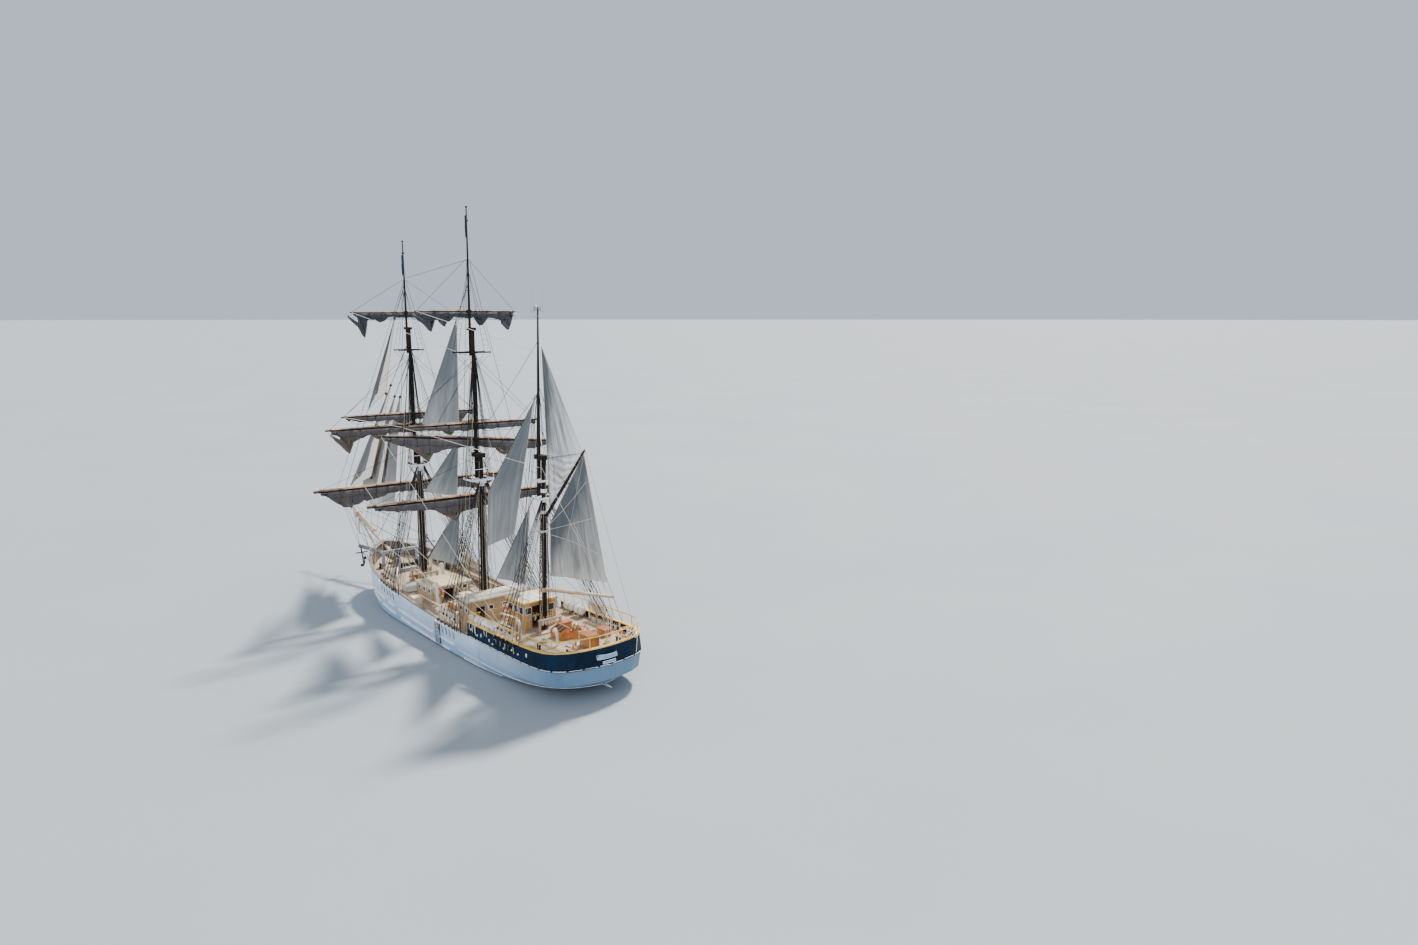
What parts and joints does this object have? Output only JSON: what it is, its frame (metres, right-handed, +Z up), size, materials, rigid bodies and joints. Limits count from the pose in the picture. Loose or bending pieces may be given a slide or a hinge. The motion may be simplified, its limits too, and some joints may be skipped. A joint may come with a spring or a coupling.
{
  "type": "three-masted tall ship scale model",
  "caption": "Square-rigged tall ship with furled square sails, set jibs and staysails, a gaff-rigged mizzen, pale hull and raised dark quarter bulwark.",
  "frame": {"origin": "on the waterline plane and the centre plane, at the middle of the deck's length", "axes": "+X towards the bow, +Y to port, +Z up, normal to the waterline"},
  "size_m": [23.3321, 8.1973, 17.5954],
  "materials": {
    "hull_white": "weathered satin paint",
    "quarter_blue": "satin paint",
    "deck_planks": "bare scrubbed planks",
    "dark_timber": "dark brown oiled and painted",
    "yellow_paint": "satin paint",
    "varnished_timber": "varnished",
    "cream_paint": "satin paint",
    "canvas": "weathered sailcloth",
    "black_iron": "painted black",
    "bronze": "bare metal"
  },
  "bodies": {
    "ship": {"hull": "hull_white", "bulwark": "hull_white", "main_deck": "deck_planks", "quarterdeck": "deck_planks", "quarter_bulwark": "quarter_blue", "cap_rail": "dark_timber", "quarter_rail": "yellow_paint", "fore_deckhouse": "cream_paint", "midship_deckhouse": "cream_paint", "charthouse": "varnished_timber", "skylight": "varnished_timber", "wheel_box": "varnished_timber", "windlass_frame": "black_iron", "bowsprit": "cream_paint", "jibboom": "cream_paint", "catheads": "hull_white", "anchor_port": "black_iron", "anchor_starboard": "black_iron", "fore_lower_mast": "dark_timber", "fore_topmast": "dark_timber", "fore_top": "hull_white", "main_lower_mast": "dark_timber", "main_topmast": "dark_timber", "main_top": "hull_white", "mizzen_lower_mast": "dark_timber", "mizzen_topmast": "dark_timber", "mizzen_top": "hull_white", "flying_jib": "canvas", "outer_jib": "canvas", "inner_jib": "canvas", "fore_staysail": "canvas", "main_topgallant_staysail": "canvas", "main_topmast_staysail": "canvas", "main_staysail": "canvas", "mizzen_topmast_staysail": "canvas", "mizzen_staysail": "canvas"},
    "rudder": {"rudder": "hull_white"},
    "steering_wheel": {"steering_wheel": "varnished_timber"},
    "propeller": {"propeller": "bronze"},
    "windlass_barrel": {"windlass_barrel": "black_iron"},
    "fore_course_yard": {"fore_course_yard": "dark_timber", "fore_course_furled": "canvas"},
    "fore_lower_topsail_yard": {"fore_lower_topsail_yard": "dark_timber", "fore_lower_topsail_furled": "canvas"},
    "fore_upper_topsail_yard": {"fore_upper_topsail_yard": "dark_timber", "fore_upper_topsail_furled": "canvas"},
    "fore_topgallant_yard": {"fore_topgallant_yard": "dark_timber", "fore_topgallant_furled": "canvas"},
    "main_course_yard": {"main_course_yard": "dark_timber", "main_course_furled": "canvas"},
    "main_lower_topsail_yard": {"main_lower_topsail_yard": "dark_timber", "main_lower_topsail_furled": "canvas"},
    "main_upper_topsail_yard": {"main_upper_topsail_yard": "dark_timber", "main_upper_topsail_furled": "canvas"},
    "main_topgallant_yard": {"main_topgallant_yard": "dark_timber", "main_topgallant_furled": "canvas"},
    "spanker_gear": {"spanker_boom": "varnished_timber", "gaff": "dark_timber", "spanker": "canvas", "gaff_topsail": "canvas"}
  },
  "joints": [
    {"name": "rudder_turn", "type": "hinge", "parent": "ship", "child": "rudder", "pos_m": [-7.575, 0, -0.75], "axis": [0, 0, 1], "range_deg": [-35, 35]},
    {"name": "wheel_turn", "type": "hinge", "parent": "ship", "child": "steering_wheel", "pos_m": [-7.45, 0, 1.8], "axis": [1, 0, 0], "continuous": true},
    {"name": "propeller_turn", "type": "hinge", "parent": "ship", "child": "propeller", "pos_m": [-7.125, 0, -1.175], "axis": [1, 0, 0], "continuous": true},
    {"name": "windlass_turn", "type": "hinge", "parent": "ship", "child": "windlass_barrel", "pos_m": [6.1, 0, 1.38139], "axis": [0, 1, 0], "continuous": true},
    {"name": "fore_course_brace", "type": "hinge", "parent": "ship", "child": "fore_course_yard", "pos_m": [4.54073, 0, 5.12], "axis": [-0.001, 0, 1], "range_deg": [-33, 37]},
    {"name": "fore_lower_topsail_brace", "type": "hinge", "parent": "ship", "child": "fore_lower_topsail_yard", "pos_m": [4.84337, 0, 7.475], "axis": [-0.001, 0, 1], "range_deg": [-32, 38]},
    {"name": "fore_upper_topsail_brace", "type": "hinge", "parent": "ship", "child": "fore_upper_topsail_yard", "pos_m": [4.84289, 0, 7.96], "axis": [-0.001, 0, 1], "range_deg": [-30, 40]},
    {"name": "fore_topgallant_brace", "type": "hinge", "parent": "ship", "child": "fore_topgallant_yard", "pos_m": [5.0588, 0, 12.05], "axis": [-0.001, 0, 1], "range_deg": [-35, 35]},
    {"name": "main_course_brace", "type": "hinge", "parent": "ship", "child": "main_course_yard", "pos_m": [-0.84123, 0, 5.335], "axis": [-0.0222, 0, 0.9998], "range_deg": [-32, 38]},
    {"name": "main_lower_topsail_brace", "type": "hinge", "parent": "ship", "child": "main_lower_topsail_yard", "pos_m": [-0.58307, 0, 7.445], "axis": [-0.0222, 0, 0.9998], "range_deg": [-31, 39]},
    {"name": "main_upper_topsail_brace", "type": "hinge", "parent": "ship", "child": "main_upper_topsail_yard", "pos_m": [-0.59561, 0, 8.01], "axis": [-0.0222, 0, 0.9998], "range_deg": [-29, 41]},
    {"name": "main_topgallant_brace", "type": "hinge", "parent": "ship", "child": "main_topgallant_yard", "pos_m": [-0.46586, 0, 12.075], "axis": [-0.0222, 0, 0.9998], "range_deg": [-35, 35]},
    {"name": "spanker_swing", "type": "hinge", "parent": "ship", "child": "spanker_gear", "pos_m": [-5.14206, 0, 2.75], "axis": [-0.0428, 0, 0.9991], "range_deg": [-47, 37]}
  ]
}
